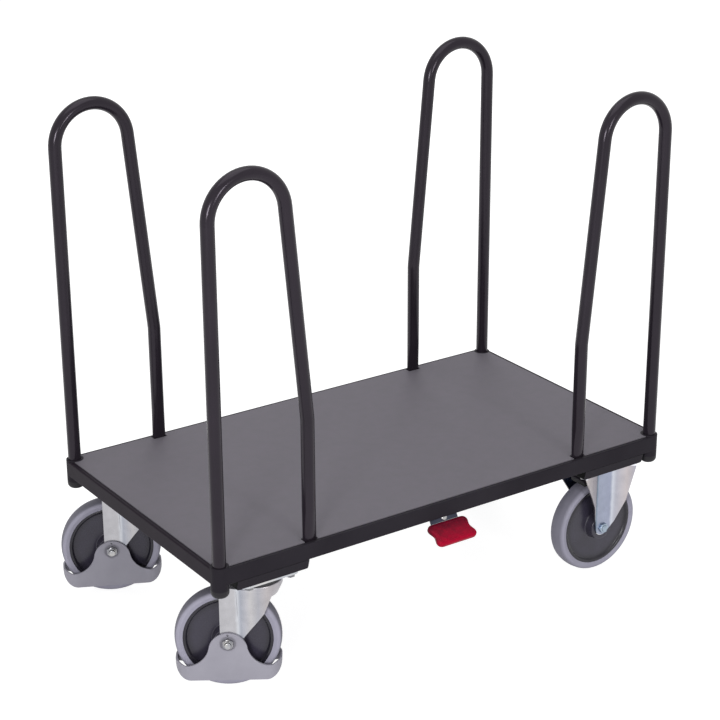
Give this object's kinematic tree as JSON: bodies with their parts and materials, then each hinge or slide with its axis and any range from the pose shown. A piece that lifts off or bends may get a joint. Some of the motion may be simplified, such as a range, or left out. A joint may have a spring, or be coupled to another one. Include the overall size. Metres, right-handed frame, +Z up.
{
  "type": "side rail trolley",
  "caption": "Platform trolley with a framed deck, a tall tube hoop at each corner, guarded swivel castors, fixed castors and a foot pedal that brakes the fixed wheels.",
  "frame": {"origin": "on the floor under the middle of the deck", "axes": "+X along the trolley towards the fixed castors, +Z up, -Y the long side with the pedal"},
  "size_m": [1.0717, 0.6596, 1.015],
  "materials": {
    "frame_paint": "anthracite powder coat, satin",
    "cap_plastic": "moulded, matt",
    "deck_facing": "grey resin-faced board, matt",
    "zinc_sheet": "bright zinc plate",
    "lever_steel": "blued steel",
    "zinc_fastener": "bright zinc plate",
    "bright_steel": "ground steel",
    "seal_plastic": "moulded, matt",
    "guard_plastic": "moulded, fine grain",
    "rim_plastic": "moulded, satin",
    "grey_rubber": "non-marking grey rubber",
    "red_plastic": "moulded, glossy",
    "brake_steel": "anthracite powder coat, satin",
    "brake_rubber": "hard rubber"
  },
  "bodies": {
    "chassis": {"front_rail": "frame_paint", "rear_rail": "frame_paint", "left_end_rail": "frame_paint", "right_end_rail": "frame_paint", "corner_sleeve_front_left": "frame_paint", "corner_sleeve_front_right": "frame_paint", "corner_sleeve_rear_left": "frame_paint", "corner_sleeve_rear_right": "frame_paint", "hoop_front_left": "frame_paint", "hoop_front_right": "frame_paint", "hoop_rear_left": "frame_paint", "hoop_rear_right": "frame_paint", "swivel_carrier": "frame_paint", "fixed_carrier": "frame_paint", "pedal_bracket": "frame_paint", "shaft_brackets": "frame_paint", "sleeve_caps": "cap_plastic", "deck_board": "deck_facing", "fixed_fork_front": "zinc_sheet", "fixed_fork_rear": "zinc_sheet", "swivel_plate_front": "zinc_sheet", "swivel_plate_rear": "zinc_sheet", "kingpins": "zinc_fastener", "castor_bolts": "zinc_fastener", "castor_nuts": "zinc_fastener", "fixed_axle_bolts": "zinc_fastener", "fixed_axle_nuts": "zinc_fastener", "fixed_axle_tubes": "bright_steel", "pedal_pin": "zinc_fastener"},
    "swivel_front": {"swivel_fork_front": "zinc_sheet", "swivel_balls_front": "bright_steel", "swivel_seal_front": "seal_plastic", "foot_guard_front": "guard_plastic", "swivel_axle_bolt_front": "zinc_fastener", "swivel_axle_nut_front": "zinc_fastener", "swivel_axle_tube_front": "bright_steel"},
    "swivel_rear": {"swivel_fork_rear": "zinc_sheet", "swivel_balls_rear": "bright_steel", "swivel_seal_rear": "seal_plastic", "foot_guard_rear": "guard_plastic", "swivel_axle_bolt_rear": "zinc_fastener", "swivel_axle_nut_rear": "zinc_fastener", "swivel_axle_tube_rear": "bright_steel"},
    "wheel_swivel_front": {"wheel_rim_swivel_front": "rim_plastic", "tyre_swivel_front": "grey_rubber", "wheel_bearings_swivel_front": "bright_steel"},
    "wheel_swivel_rear": {"wheel_rim_swivel_rear": "rim_plastic", "tyre_swivel_rear": "grey_rubber", "wheel_bearings_swivel_rear": "bright_steel"},
    "wheel_fixed_front": {"wheel_rim_fixed_front": "rim_plastic", "tyre_fixed_front": "grey_rubber", "wheel_bearings_fixed_front": "bright_steel"},
    "wheel_fixed_rear": {"wheel_rim_fixed_rear": "rim_plastic", "tyre_fixed_rear": "grey_rubber", "wheel_bearings_fixed_rear": "bright_steel"},
    "pedal": {"pedal_lever": "lever_steel", "pedal_pad": "red_plastic"},
    "brake_rocker": {"brake_shaft": "brake_steel", "brake_arms": "brake_steel", "brake_pads": "brake_rubber"}
  },
  "joints": [
    {"name": "swivel_turn_front", "type": "hinge", "parent": "chassis", "child": "swivel_front", "pos_m": [-0.404, -0.2305, 0.225], "axis": [0, 0, 1], "continuous": true},
    {"name": "swivel_wheel_spin_front", "type": "hinge", "parent": "swivel_front", "child": "wheel_swivel_front", "pos_m": [-0.44845, -0.20163, 0.1], "axis": [0.5446, 0.8387, 0], "continuous": true},
    {"name": "swivel_turn_rear", "type": "hinge", "parent": "chassis", "child": "swivel_rear", "pos_m": [-0.404, 0.2305, 0.225], "axis": [0, 0, 1], "continuous": true},
    {"name": "swivel_wheel_spin_rear", "type": "hinge", "parent": "swivel_rear", "child": "wheel_swivel_rear", "pos_m": [-0.45164, 0.25373, 0.1], "axis": [0.4384, 0.8988, 0], "continuous": true},
    {"name": "fixed_wheel_spin_front", "type": "hinge", "parent": "chassis", "child": "wheel_fixed_front", "pos_m": [0.4085, -0.2305, 0.1], "axis": [0, 1, 0], "continuous": true},
    {"name": "fixed_wheel_spin_rear", "type": "hinge", "parent": "chassis", "child": "wheel_fixed_rear", "pos_m": [0.4085, 0.2305, 0.1], "axis": [0, 1, 0], "continuous": true},
    {"name": "pedal_press", "type": "hinge", "parent": "chassis", "child": "pedal", "pos_m": [-0.018, -0.264, 0.252], "axis": [1, 0, 0], "range_deg": [0, 20]},
    {"name": "brake_rock", "type": "hinge", "parent": "chassis", "child": "brake_rocker", "pos_m": [0.296, 0, 0.229], "axis": [0, 1, 0], "range_deg": [0, 4.25]}
  ],
  "couplings": [
    {"joint": "brake_rock", "follows": "pedal_press", "ratio": 0.21106}
  ]
}
